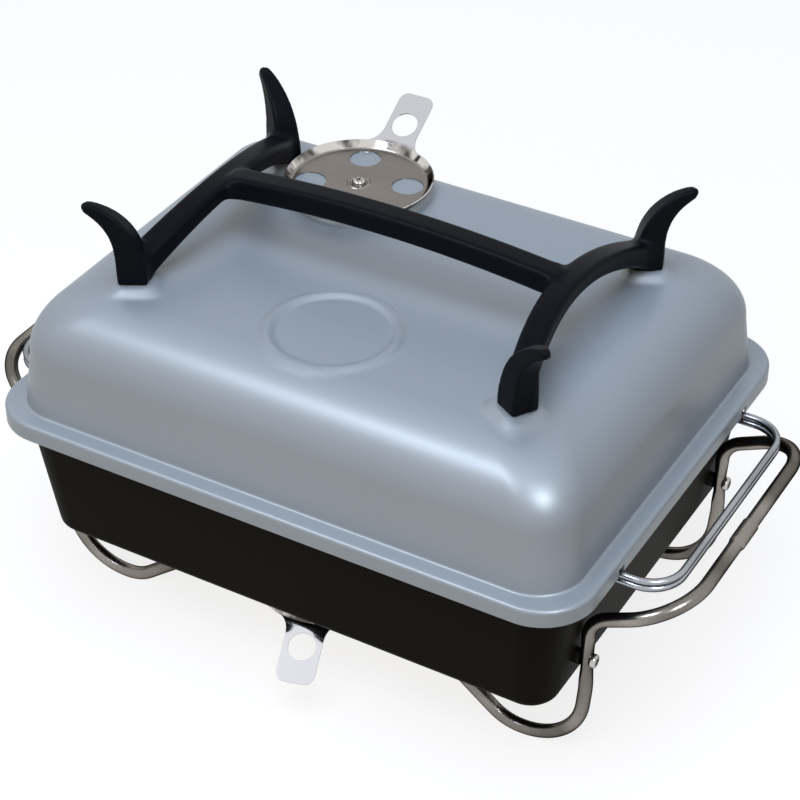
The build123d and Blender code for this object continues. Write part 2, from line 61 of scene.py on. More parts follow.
# Plain studio: an even pale room and a matt floor, both white to the camera and in mirror images, and four soft
# lamps: two that light the matt colours, and two that only show as gloss along the lid's front shoulder and corner.
def linear(code):
    """An sRGB hex colour such as 8f9aaa as linear red, green, blue and alpha."""
    value = np.array([int(code[i:i + 2], 16) for i in (0, 2, 4)]) / 255
    low = value / 12.92
    high = ((value + 0.055) / 1.055) ** 2.4
    return (*np.where(value <= 0.04045, low, high), 1.0)


def add(tree, kind, inputs=None, **settings):
    """Adds one node: settings are its own properties, inputs its sockets, each a value or an output to link."""
    node = tree.nodes.new(kind)
    for name, value in settings.items():
        setattr(node, name, value)
    for name, value in (inputs or {}).items():
        if isinstance(value, bpy.types.NodeSocket):
            tree.links.new(value, node.inputs[name])
        else:
            node.inputs[name].default_value = value
    return node


def shows_white(tree):
    """1 on the rays that look straight at the background or meet it in metal or glass, else 0."""
    path = add(tree, "ShaderNodeLightPath")
    direct = add(tree, "ShaderNodeMath", {0: path.outputs["Is Camera Ray"], 1: path.outputs["Is Glossy Ray"]},
                 operation="MAXIMUM")
    return add(tree, "ShaderNodeMath", {0: direct.outputs[0], 1: path.outputs["Is Transmission Ray"]},
               operation="MAXIMUM").outputs[0]


world = bpy.data.worlds.new("room")
bpy.context.scene.world = world
world.use_nodes = True
room = world.node_tree
room.nodes.clear()
plain = add(room, "ShaderNodeBackground", {"Color": linear("e2ebf8"), "Strength": 0.11})
white = add(room, "ShaderNodeBackground", {"Color": (1, 1, 1, 1), "Strength": 1.0})
mixed = add(room, "ShaderNodeMixShader", {0: shows_white(room), 1: plain.outputs[0], 2: white.outputs[0]})
add(room, "ShaderNodeOutputWorld", {"Surface": mixed.outputs[0]})

floor_mesh = bpy.data.meshes.new("floor")
reach = 30.0
floor_mesh.from_pydata([(-reach, -reach, 0), (reach, -reach, 0), (reach, reach, 0), (-reach, reach, 0)], [],
                       [(0, 1, 2, 3)])
floor = bpy.data.objects.new("floor", floor_mesh)
bpy.context.scene.collection.objects.link(floor)
pale = bpy.data.materials.new("pale_floor")
pale.use_nodes = True
tree = pale.node_tree
tree.nodes.clear()
matt = add(tree, "ShaderNodeBsdfDiffuse", {"Color": linear("9c9892")})
glow = add(tree, "ShaderNodeEmission", {"Color": (1, 1, 1, 1), "Strength": 0.82})
dark = add(tree, "ShaderNodeEmission", {"Color": (1, 1, 1, 1), "Strength": 0.0})
shown = add(tree, "ShaderNodeMixShader", {0: shows_white(tree), 1: dark.outputs[0], 2: glow.outputs[0]})
both = add(tree, "ShaderNodeAddShader", {0: matt.outputs[0], 1: shown.outputs[0]})
add(tree, "ShaderNodeOutputMaterial", {"Surface": both.outputs[0]})
floor_mesh.materials.append(pale)


def lamp(name, toward, distance, long, wide, power, colour, matt=True, glossy=True):
    """A rectangular soft lamp in the given direction from the lid; its long side runs across that direction.
    It lights matt surfaces, shows in glossy ones, or both."""
    data = bpy.data.lights.new(name, "AREA")
    data.shape, data.size, data.size_y = "RECTANGLE", long, wide
    data.energy, data.color = power, linear(colour)[:3]
    lit = bpy.data.objects.new(name, data)
    lit.visible_diffuse, lit.visible_glossy = matt, glossy
    bpy.context.scene.collection.objects.link(lit)
    toward = Vector(toward).normalized()
    place = Vector((0.0, 0.0, 0.2)) + toward * distance
    lit.matrix_world = Matrix.Translation(place) @ toward.to_track_quat("Z", "Y").to_matrix().to_4x4()


lamp("sky_window", (-0.26, -0.53, 0.80), 2.2, 0.85, 0.38, 25.0, "e6eeff", matt=False)
lamp("sky_fill", (0.06, -0.28, 0.96), 2.4, 2.0, 2.4, 58.0, "cfe1ff", glossy=False)
lamp("front_fill", (0.12, -0.90, 0.42), 2.6, 2.2, 1.8, 16.5, "ffe9d2", glossy=False)
lamp("corner_spark", (0.60, -0.44, 0.67), 2.0, 0.55, 0.55, 27.0, "eaf3ff", matt=False)


# Lid: one deep steel pressing, 1.2 mm thick, with a turned-down lip, soft shoulders, four soft raised pads under
# the feet of its handle, a low seat under the vent and a plain pressed ring, all under satin silver paint. The
# helpers that it needs first come before its sizes.
def coated(name):
    """A new material with no nodes yet, and its node tree."""
    material = bpy.data.materials.new(name)
    material.use_nodes = True
    material.node_tree.nodes.clear()
    return material, material.node_tree


def new_mesh(name, points, faces):
    """A mesh of points in metres and faces."""
    mesh = bpy.data.meshes.new(name)
    mesh.from_pydata(np.asarray(points).reshape(-1, 3).tolist(), [], [list(map(int, f)) for f in faces])
    return mesh


def mesh_object(name, points, faces, material, body):
    """A smooth piece of one material, riding on a CAD body."""
    mesh = new_mesh(name, points, faces)
    mesh.polygons.foreach_set("use_smooth", np.ones(len(mesh.polygons), bool))
    mesh.materials.append(material)
    obj = bpy.data.objects.new(name, mesh)
    bpy.context.scene.collection.objects.link(obj)
    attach(obj, body)
    return obj


def grid_faces(rows, columns, wrap_rows=False, wrap_columns=True):
    """Four-cornered faces of a grid of points numbered row by row."""
    i = np.arange(rows if wrap_rows else rows - 1)
    j = np.arange(columns if wrap_columns else columns - 1)
    i, j = (a.ravel() for a in np.meshgrid(i, j, indexing="ij"))
    i2, j2 = (i + 1) % rows, (j + 1) % columns
    return np.stack([i * columns + j, i * columns + j2, i2 * columns + j2, i2 * columns + j], 1)


def settle(obj):
    """Applies the object's modifiers, so that cutters can be thrown away. Edges past 60 degrees stay sharp."""
    view = bpy.context.evaluated_depsgraph_get()
    made = bpy.data.meshes.new_from_object(obj.evaluated_get(view))
    obj.modifiers.clear()
    old, obj.data = obj.data, made
    bpy.data.meshes.remove(old)
    obj.data.polygons.foreach_set("use_smooth", np.ones(len(obj.data.polygons), bool))
    obj.data.set_sharp_from_angle(angle=np.radians(60))


def cut(obj, points, faces, operation="DIFFERENCE"):
    """Takes a closed shape out of obj, or joins it on."""
    mesh = new_mesh("cutter", points, faces)
    tool = bpy.data.objects.new("cutter", mesh)
    bpy.context.scene.collection.objects.link(tool)
    step = obj.modifiers.new("cut", "BOOLEAN")
    step.object, step.operation, step.solver = tool, operation, "EXACT"
    settle(obj)
    bpy.data.objects.remove(tool)
    bpy.data.meshes.remove(mesh)


def prisms(outlines, low, high):
    """Closed upright prisms over plan outlines, each an array of x, y pairs running anticlockwise, in metres."""
    points, faces, start = [], [], 0
    for outline in outlines:
        count = len(outline)
        for z in (low, high):
            points += [(x, y, z) for x, y in outline]
        ring = np.arange(count)
        after = (ring + 1) % count
        faces += (np.stack([ring, after, after + count, ring + count], 1) + start).tolist()
        faces += [(ring[::-1] + start).tolist(), (ring + count + start).tolist()]
        start += 2 * count
    return points, faces


def circle(x, y, radius, count=48):
    """Plan outline of a round hole."""
    a = np.arange(count) * 2 * np.pi / count
    return np.stack([x + radius * np.cos(a), y + radius * np.sin(a)], 1)


def smooth(share):
    """Smooth step from 0 to 1."""
    s = np.clip(share, 0, 1)
    return s * s * (3 - 2 * s)


lid_low, lid_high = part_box("lid")
half_long, half_wide = lid_high.x / mm, lid_high.y / mm
lip_z = lid_low.z / mm
flange_z = lip_z + 12.9
pad_z = lid_high.z / mm
pad_rise, pad_half, pad_run = 5.1, 20.3, 7.1    # half a pad's width at its foot, and the run of its slope
dome_z = pad_z - pad_rise
foot_x, foot_y = 148.5, 96.5
feet = [(sx * foot_x, sy * foot_y, sx * sy * np.radians(30.0)) for sy in (-1, 1) for sx in (-1, 1)]
damper_x, damper_y, damper_turn = -79.5, 89.5, 91.0
seat_rise, seat_r, seat_run = 4.5, 52.5, 3.5
ring_y, ring_r, ring_half, ring_rise = -78.0, 44.6, 5.5, 2.8
vent_circle, vent_r, vent_turn, screw_hole_r = 36.0, 11.75, 22.0, 2.75
notch_y, notch_half, notch_high = 100, 4, 6
rim_corner, dome_inset, dome_corner, shoulder, top_corner = 40.0, 13.0, 34.0, 44.0, 36.0
edge_round, foot_round, draft = 2.8, 2.0, np.tan(np.radians(5.5))
sheet = 1.2


def ring_weights(corner_steps, long_steps, short_steps):
    """Per point of a rounded rectangle: shares of (half length - radius), radius, (half width - radius), radius."""
    rows = []
    for sx, sy, start, run in ((1, 1, 0, long_steps), (-1, 1, 90, short_steps), (-1, -1, 180, long_steps),
                               (1, -1, 270, short_steps)):
        a = np.radians(start + 90 * np.arange(corner_steps) / corner_steps)
        rows.append(np.stack([np.full(corner_steps, sx), np.cos(a), np.full(corner_steps, sy), np.sin(a)], 1))
        f = np.arange(run) / run
        if start % 180 == 0:
            rows.append(np.stack([sx * (1 - 2 * f), 0 * f, 0 * f + sy, 0 * f + sy], 1))
        else:
            rows.append(np.stack([0 * f + sx, 0 * f + sx, sy * (1 - 2 * f), 0 * f], 1))
    return np.concatenate(rows)


def rings(weights, inset, radius, z):
    """Points of nested rounded rectangles: each drawn in from the rim by inset, with its own corner radius and z."""
    hx, hy = (half_long - inset - radius)[:, None], (half_wide - inset - radius)[:, None]
    r = radius[:, None]
    x = weights[:, 0] * hx + weights[:, 1] * r
    y = weights[:, 2] * hy + weights[:, 3] * r
    return np.stack([x, y, np.broadcast_to(z[:, None], x.shape)], 2)


def pressed_relief(x, y):
    """Height of the pads and the ring over the dome. A pad rises with the share of its slope that is passed, 0.4 of
    it as a smooth step, and stays 0.3 mm below the damper. The ring's height is (1 - s * s) ** 1.5, s being the
    distance from its middle line over half its width."""
    r = np.hypot(x - damper_x, y - damper_y)
    pads = np.zeros_like(x)
    for px, py, turned in feet:
        u = (x - px) * np.cos(turned) + (y - py) * np.sin(turned)
        v = (y - py) * np.cos(turned) - (x - px) * np.sin(turned)
        d = (np.abs(u) ** 4 + np.abs(v) ** 4) ** 0.25
        share = (pad_half - d) / pad_run
        pads = np.maximum(pads, pad_rise * (0.4 * smooth(share) + 0.6 * np.clip(share, 0, 1)))
    under_disc = seat_rise - 0.3 + np.maximum(0, r - 50.0)
    ring = ring_rise * np.clip(1 - ((np.hypot(x, y - ring_y) - ring_r) / ring_half) ** 2, 0, None) ** 1.5
    return np.minimum(pads, under_disc) + ring


# From the lip's lower edge up over the flange, the walls and the shoulder, then over the top to its middle
weights = ring_weights(26, 126, 92)
quarter = np.radians(np.linspace(0, 90, 7))
arc = np.radians(np.linspace(0, 90, 18))
wall_top = dome_z - shoulder
drawn = draft * (wall_top - flange_z)
inset = np.concatenate([
    [0.0, 0.0, 0.0, 0.0], edge_round * (1 - np.cos(quarter)), [5.0, 7.5, 9.5],
    dome_inset - foot_round * (1 - np.sin(quarter)),
    dome_inset + drawn * np.linspace(0.12, 0.92, 6), dome_inset + drawn + shoulder * (1 - np.cos(arc))])
z = np.concatenate([
    [lip_z, lip_z + 0.6, lip_z + 3, flange_z - edge_round - 1], flange_z - edge_round * (1 - np.sin(quarter)),
    [flange_z, flange_z, flange_z], flange_z + foot_round * (1 - np.cos(quarter)),
    flange_z + foot_round + (wall_top - flange_z - foot_round) * np.linspace(0.12, 0.92, 6),
    wall_top + shoulder * np.sin(arc)])
radius = np.interp(
    inset,
    [0, edge_round, dome_inset - foot_round, dome_inset, dome_inset + drawn, dome_inset + drawn + shoulder],
    [rim_corner, rim_corner - edge_round, dome_corner + foot_round, dome_corner, dome_corner, top_corner])
body_points = rings(weights, inset, radius, z)
shrink = 1 - np.arange(1, 64) / 64
top_points = body_points[-1][None] * shrink[:, None, None]
top_points[:, :, 2] = dome_z
points = np.concatenate([body_points, top_points])
on_top = smooth((points[:, :, 2] - (dome_z - 14.0)) / 12.0)
points[:, :, 2] += pressed_relief(points[:, :, 0], points[:, :, 1]) * on_top
seat = smooth((seat_r - np.hypot(points[:, :, 0] - damper_x, points[:, :, 1] - damper_y)) / seat_run)
points[:, :, 2] += (dome_z + seat_rise - points[:, :, 2]) * seat
rows, columns = points.shape[:2]
faces = grid_faces(rows, columns)
last = (rows - 1) * columns + np.arange(columns)
flat = np.concatenate([points.reshape(-1, 3), [[0, 0, dome_z]]])
faces = faces.tolist() + [[int(a), int(b), len(flat) - 1] for a, b in zip(last, np.roll(last, -1))]

# Stoving lacquer full of aluminium flakes: a soft wide gloss with a trace of sparkle. The flakes are drawn at
# 1.1 mm, far coarser than real, so that they show, and the tone drifts over 111 mm.
silver, tree = coated("satin_silver_paint")
place = add(tree, "ShaderNodeTexCoord")
flake = add(tree, "ShaderNodeTexNoise", {
    "Vector": place.outputs["Object"], "Scale": 1 / (1.11 * mm), "Detail": 2.0})
cloud = add(tree, "ShaderNodeTexNoise", {
    "Vector": place.outputs["Object"], "Scale": 1 / (111.0 * mm), "Detail": 3.0})
tone = add(tree, "ShaderNodeMix", {"Factor": cloud.outputs["Fac"]}, data_type="RGBA")
tone.inputs["A"].default_value, tone.inputs["B"].default_value = linear("a3aaac"), linear("a7aeb0")
grain = add(tree, "ShaderNodeBump", {"Height": flake.outputs["Fac"], "Strength": 0.12, "Distance": 0.0004})
rough = add(tree, "ShaderNodeMapRange", {"Value": flake.outputs["Fac"], "To Min": 0.36, "To Max": 0.44})
paint = add(tree, "ShaderNodeBsdfPrincipled", {
    "Base Color": tone.outputs["Result"], "Metallic": 0.2, "Roughness": rough.outputs["Result"],
    "Specular IOR Level": 0.35, "Normal": grain.outputs["Normal"]})
add(tree, "ShaderNodeOutputMaterial", {"Surface": paint.outputs[0]})

lid = mesh_object("lid_pressing", flat * mm, faces, silver, "lid")
wall = lid.modifiers.new("sheet", "SOLIDIFY")
wall.thickness, wall.offset, wall.use_even_offset = sheet * mm, -1.0, True
settle(lid)
# The vents are shut at rest: the lid's holes lie midway between the damper's.
vent_places = [(damper_x + vent_circle * np.cos(a), damper_y + vent_circle * np.sin(a)) for a in
               np.radians(damper_turn + vent_turn + 45.0 + 90.0 * np.arange(4))]
holes = [circle(x * mm, y * mm, vent_r * mm) for x, y in vent_places]
holes += [circle(damper_x * mm, damper_y * mm, screw_hole_r * mm, 24)]
holes += [circle(x * mm, y * mm, screw_hole_r * mm, 24) for x, y, _ in feet]
cut(lid, *prisms(holes, (dome_z - 6) * mm, (pad_z + 6) * mm))
notches = []
for sx in (-1, 1):
    for sy in (-1, 1):
        x0, x1 = sorted((sx * (half_long - 3), sx * (half_long + 3)))
        y0, y1 = sy * notch_y - notch_half, sy * notch_y + notch_half
        notches.append(np.array([(x0, y0), (x1, y0), (x1, y1), (x0, y1)]) * mm)
cut(lid, *prisms(notches, (lip_z - 2) * mm, (lip_z + notch_high) * mm))
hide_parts("lid")


# Bowl: the matching pan, pressed from sheet steel and fired with black enamel. The heat has taken its shine, so it
# looks an even warm black. Its peel of 3.85 mm only shows close by.
enamel, tree = coated("black_enamel")
place = add(tree, "ShaderNodeTexCoord")
peel = add(tree, "ShaderNodeTexNoise", {"Vector": place.outputs["Object"], "Scale": 1 / (3.85 * mm), "Detail": 2.0})
skin = add(tree, "ShaderNodeBump", {"Height": peel.outputs["Fac"], "Strength": 0.10, "Distance": 0.0004})
coat = add(tree, "ShaderNodeBsdfPrincipled", {
    "Base Color": linear("181610"), "Roughness": 0.50, "Specular IOR Level": 0.02,
    "Normal": skin.outputs["Normal"]})
add(tree, "ShaderNodeOutputMaterial", {"Surface": coat.outputs[0]})


def dress(names, material):
    """Gives CAD nodes a material."""
    for name in names:
        nodes[name].data.materials.clear()
        nodes[name].data.materials.append(material)


dress(["bowl"], enamel)


# Legs and carrying handles: bent steel tube, ground and nickelled, with fine scratches. It mirrors the room in
# bright streaks along its length, and heat and handling have left dull patches.
def brushed(name, light, deep, low, high, size, edge, stain=0.0):
    """Bare metal whose tone, from deep to light, and roughness, from low to high, vary over fine grain of the given
    size in millimetres, and whose tone falls by stain in patches of 45 mm. Its tint at a glancing angle is a grey of
    strength edge."""
    material, tree = coated(name)
    place = add(tree, "ShaderNodeTexCoord")
    fine = add(tree, "ShaderNodeTexNoise", {
        "Vector": place.outputs["Object"], "Scale": 1 / (size * mm), "Detail": 4.0})
    tone = add(tree, "ShaderNodeMix", {"Factor": fine.outputs["Fac"]}, data_type="RGBA")
    tone.inputs["A"].default_value, tone.inputs["B"].default_value = linear(deep), linear(light)
    patch = add(tree, "ShaderNodeTexNoise", {
        "Vector": place.outputs["Object"], "Scale": 1 / (45.5 * mm), "Detail": 1.0})
    dulled = add(tree, "ShaderNodeMapRange", {"Value": patch.outputs["Fac"], "From Min": 0.35, "From Max": 0.65,
                                              "To Min": 1.0 - stain, "To Max": 1.0})
    stained = add(tree, "ShaderNodeVectorMath", {0: tone.outputs["Result"]}, operation="SCALE")
    tree.links.new(dulled.outputs["Result"], stained.inputs["Scale"])
    rough = add(tree, "ShaderNodeMapRange", {"Value": fine.outputs["Fac"], "To Min": low, "To Max": high})
    metal = add(tree, "ShaderNodeBsdfPrincipled", {
        "Base Color": stained.outputs["Vector"], "Metallic": 1.0, "Roughness": rough.outputs["Result"],
        "Specular Tint": (edge, edge, edge, 1.0)})
    add(tree, "ShaderNodeOutputMaterial", {"Surface": metal.outputs[0]})
    return material


tube_steel = brushed("ground_steel_tube", "a49f98", "87817a", 0.20, 0.30, 1.6, 0.0, 0.55)
dress([n for n in nodes if n.startswith("leg_tube")], tube_steel)

# Grids and grate: drawn steel wire, welded and zinc plated, which gives a clean bluish shine. The grate below them
# is left bare and has gone dull and grey in the fire.
zinc = brushed("zinc_plated_wire", "b0b4ba", "9da1a7", 0.18, 0.28, 3.0, 0.0, 0.2)
dress(["lower_cooking_grid", "upper_cooking_grid"], zinc)
bare_wire = brushed("bare_steel_wire", "7b7773", "54524e", 0.35, 0.5, 8.0, 0.0, 0.3)
dress(["charcoal_grate"], bare_wire)

# Small fasteners: bright plated steel, the lightest metal on the grill. The spacers between the tubes and the end
# walls are bare steel that has gone dark and dull.
bright = brushed("bright_plated_steel", "cfcdc8", "a9a6a0", 0.16, 0.28, 3.0, 0.2)
dress([n for n in nodes if "screw" in n or "washer" in n or "nut" in n], bright)
dull = brushed("dull_steel", "3c3a37", "2c2a28", 0.3, 0.4, 3.0, 0.0)
dress(["leg_spacers"], dull)

# Dampers: pressed stainless steel discs, 1 mm thick and alike. The flat is brushed and has four vents and a bead
# round its screw; the flared rim and the tab, which grows out of the rim's edge, are polished.
floor_r, rim_r, rim_h, disc_sheet, tab_tilt = 50.5, 55.5, 6.5, 1.0, np.radians(31.0)
pivot_r, bead_h = 2.55, 1.6
tab_hole_r, tab_hole_place, half_edge = 10, 17.0, 0.6    # the hole lies 17 mm out from the middle of the rim's edge


def bend(points, radii, steps=6):
    """A closed outline whose corners are rounded by arcs; a corner of radius 0 stays sharp."""
    points = np.asarray(points, float)
    done = []
    for before, corner, after, radius in zip(np.roll(points, 1, 0), points, np.roll(points, -1, 0), radii):
        if radius == 0:
            done.append(corner[None])
            continue
        a, b = (before - corner), (after - corner)
        a, b = a / np.hypot(*a), b / np.hypot(*b)
        half = np.arccos(np.clip(a @ b, -1, 1)) / 2
        middle = corner + (a + b) / np.hypot(*(a + b)) * radius / np.sin(half)
        first, last = (corner + d * radius / np.tan(half) - middle for d in (a, b))
        turn = np.arctan2(first[0] * last[1] - first[1] * last[0], first @ last) * np.linspace(0, 1, steps)
        done.append(middle + np.stack([first[0] * np.cos(turn) - first[1] * np.sin(turn),
                                       first[0] * np.sin(turn) + first[1] * np.cos(turn)], 1))
    return np.concatenate(done)


def disc_points(columns=160):
    """The disc without its tab: a section turned round the Z axis. It runs under the floor from the screw hole to the
    rim, up the flare, back down inside it and over the bead to the hole."""
    flare = (rim_r - floor_r) / rim_h
    wide = disc_sheet * np.hypot(1, flare)
    section = bend([(pivot_r, 0), (floor_r, 0), (rim_r, rim_h), (rim_r - wide, rim_h),
                    (floor_r + flare * disc_sheet - wide, disc_sheet), (9.0, disc_sheet), (8.4, bead_h), (6.6, bead_h),
                    (6.0, disc_sheet), (pivot_r, disc_sheet)],
                   [0, 3.2, 0.4, 0.4, 2.2, 0.6, 0.5, 0.5, 0.3, 0])
    a = np.arange(columns) * 2 * np.pi / columns
    r, z = section[:, 0, None], section[:, 1, None] + 0 * a
    return np.stack([r * np.cos(a), r * np.sin(a), z], 2)


def tab_points(length=37.7, half=14.0, neck=9.0, corner=6.5, columns=25):
    """The tab's upper side, row by row from the rim outwards: conical at the rim, then flat. Its half width is 14 mm,
    plus a hollow quarter circle at the neck, less a quarter circle at the outer corners."""
    start = rim_r - 1.0
    run = np.concatenate([[0.0, 0.3, 0.8, 1.5, 2.5, 3.8, 5.5, 7.3, neck], np.linspace(12, length - corner, 10),
                          length - corner * (1 - np.sin(np.radians([22, 42, 58, 70, 80, 90])))])
    wide = half + neck - np.sqrt(neck ** 2 - np.clip(neck - run, 0, None) ** 2)
    wide = wide - corner + np.sqrt(corner ** 2 - np.clip(run - length + corner, 0, corner) ** 2)
    y = wide[:, None] * np.linspace(-1, 1, columns)
    x = start + run[:, None] - (start - np.sqrt(start ** 2 - y ** 2)) * (1 - smooth(run[:, None] / 12))
    z = rim_h + run[:, None] * np.tan(tab_tilt) + 0 * y
    return np.stack([x, y, z], 2)


def make_disc(name, body, centre, turned, flip, material):
    """One damper placed in the grill: flip turns it over about its tab."""
    ring = disc_points()
    disc = mesh_object(name, ring * mm, grid_faces(*ring.shape[:2], wrap_rows=True), material, body)
    upper = tab_points()
    rows, columns = upper.shape[:2]
    lower = upper + disc_sheet * np.array([np.sin(tab_tilt), 0, -np.cos(tab_tilt)])
    skin = grid_faces(rows, columns, wrap_columns=False)
    count = rows * columns
    edge = np.concatenate([np.arange(columns), columns - 1 + columns * np.arange(1, rows),
                           count - 2 - np.arange(columns - 1), columns * np.arange(rows - 2, 0, -1)])
    after = np.roll(edge, -1)
    side = np.stack([edge, edge + count, after + count, after], 1)
    cut(disc, np.concatenate([upper.reshape(-1, 3), lower.reshape(-1, 3)]) * mm,
        [*skin.tolist(), *(skin[:, ::-1] + count).tolist(), *side.tolist()], "UNION")
    vents = [circle(vent_circle * mm * np.cos(a), vent_circle * mm * np.sin(a), vent_r * mm) for a in
             np.radians(vent_turn + 90.0 * np.arange(4))]
    cut(disc, *prisms(vents, -3 * mm, 4 * mm))
    hole, faces = prisms([circle(0, 0, tab_hole_r * mm)], -6 * mm, 6 * mm)
    c, s = np.cos(tab_tilt), np.sin(tab_tilt)
    away = np.array([(x * c - z * s, y, x * s + z * c) for x, y, z in hole])
    middle = np.array([rim_r - half_edge + tab_hole_place * c, 0, rim_h + tab_hole_place * s])
    cut(disc, away + middle * mm, faces)
    if flip:
        disc.data.transform(Matrix.Rotation(np.pi, 4, "X"))
    disc.data.transform(Matrix.Translation(Vector(centre) * mm) @ Matrix.Rotation(np.radians(turned), 4, "Z"))
    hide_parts(name)


def stainless(name, centre, floor_z, up, tab_colour_with_painted_light):
    """Brushed flat, polished rim and tab: the height over the disc's floor tells one from the other. The flat has
    brush lines 0.7 mm wide and 25 mm long and its gloss drifts over 29 mm. The rim carries painted reflection: dark
    streaks running out from the screw stand in for a dark room mirrored in its polish. The tab's colour is given per
    damper and is painted light: both are the same steel, and the bottom tab is painted lighter for the brighter light
    it mirrors."""
    material, tree = coated(name)
    place = add(tree, "ShaderNodeTexCoord")
    lines = add(tree, "ShaderNodeMapping", {"Vector": place.outputs["Object"], "Rotation": (0, 0, np.radians(62)),
                                            "Scale": (1 / (25 * mm), 1 / (0.714 * mm), 1 / (25 * mm))})
    streak = add(tree, "ShaderNodeTexNoise", {"Vector": lines.outputs[0], "Scale": 1.0, "Detail": 3.0})
    spread = add(tree, "ShaderNodeTexNoise", {
        "Vector": place.outputs["Object"], "Scale": 1 / (28.6 * mm), "Detail": 3.0})
    parts = add(tree, "ShaderNodeSeparateXYZ", {"Vector": place.outputs["Object"]})
    rim, tab = (add(tree, "ShaderNodeMapRange", {
        "Value": parts.outputs["Z"], "From Min": (floor_z + up * start) * mm, "From Max": (floor_z + up * end) * mm})
        for start, end in ((1.4, 2.4), (6.2, 8.0)))
    flat = add(tree, "ShaderNodeMix", {"Factor": streak.outputs["Fac"]}, data_type="RGBA")
    flat.inputs["A"].default_value, flat.inputs["B"].default_value = linear("7d7873"), linear("989390")
    screw = (centre[0] * mm, centre[1] * mm, floor_z * mm)
    arm = add(tree, "ShaderNodeVectorMath", {0: place.outputs["Object"], 1: screw}, operation="SUBTRACT")
    around = add(tree, "ShaderNodeVectorMath", {0: arm.outputs[0]}, operation="NORMALIZE")
    # Painted reflection: noise over the direction from the screw makes dark streaks round the rim, standing in for a
    # dark room mirrored in the polish.
    painted_reflection_streaks = add(tree, "ShaderNodeTexNoise", {"Vector": around.outputs[0], "Scale": 3.2, "Detail": 2.0})
    dark = add(tree, "ShaderNodeMapRange", {"Value": painted_reflection_streaks.outputs["Fac"], "From Min": 0.42, "From Max": 0.56})
    polish_and_painted_reflection = add(tree, "ShaderNodeMix", {"Factor": dark.outputs["Result"]}, data_type="RGBA")
    polish_and_painted_reflection.inputs["A"].default_value, polish_and_painted_reflection.inputs["B"].default_value = linear("56534f"), linear("d2cfcb")
    shine = add(tree, "ShaderNodeMix", {"Factor": rim.outputs["Result"]}, data_type="RGBA")
    tree.links.new(flat.outputs["Result"], shine.inputs["A"])
    tree.links.new(polish_and_painted_reflection.outputs["Result"], shine.inputs["B"])
    tone = add(tree, "ShaderNodeMix", {"Factor": tab.outputs["Result"]}, data_type="RGBA")
    tree.links.new(shine.outputs["Result"], tone.inputs["A"])
    # Painted light: the tab's colour differs per damper, and the bottom tab is painted lighter for the brighter light
    # its steel mirrors.
    tone.inputs["B"].default_value = linear(tab_colour_with_painted_light)
    rough = add(tree, "ShaderNodeMapRange", {"Value": spread.outputs["Fac"], "To Min": 0.22, "To Max": 0.36})
    buffed = add(tree, "ShaderNodeMapRange", {"Value": rim.outputs["Result"], "To Min": 1.0, "To Max": 0.25})
    finish = add(tree, "ShaderNodeMath", {0: rough.outputs["Result"], 1: buffed.outputs["Result"]},
                 operation="MULTIPLY")
    metal = add(tree, "ShaderNodeBsdfPrincipled", {
        "Base Color": tone.outputs["Result"], "Metallic": 1.0, "Roughness": finish.outputs[0],
        "Specular Tint": (0.3, 0.3, 0.3, 1.0)})
    add(tree, "ShaderNodeOutputMaterial", {"Surface": metal.outputs[0]})
    return material


top_disc_z = dome_z + seat_rise
floor_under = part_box("bowl")[0].z / mm
bottom_x, bottom_y, bottom_turn = 0.0, -89.0, -75.0
# Both dampers are the same steel. Their two tab colours are painted light, and the bottom one is the lighter.
make_disc("top_damper", "top_damper", (damper_x, damper_y, top_disc_z), damper_turn, False,
          stainless("top_damper_steel", (damper_x, damper_y), top_disc_z, 1, "c8c9cf"))
make_disc("bottom_damper", "bottom_damper", (bottom_x, bottom_y, floor_under), bottom_turn, True,
          stainless("bottom_damper_steel", (bottom_x, bottom_y), floor_under, -1, "dddee4"))


# Lid handle: one black moulding with soft edges and a fine spark-eroded grain. It is worked out as a field of
# distances to its surface, negative inside, on a grid of 1 mm, and the skin is drawn where the field is 0.
arm_x, arm_bow, half_bar = 135, 13.5, 9.5       # an arm's middle line is 135 mm out at its middle, 148.5 at its feet
bar_top, bar_low, bar_fall_top, bar_fall_low = 152, 135, 8, 9          # heights over the lip
arm_top, arm_low, arm_fall_top, arm_fall_low = 142.5, 129.5, 22, 29.5
bar_edge = 3.8


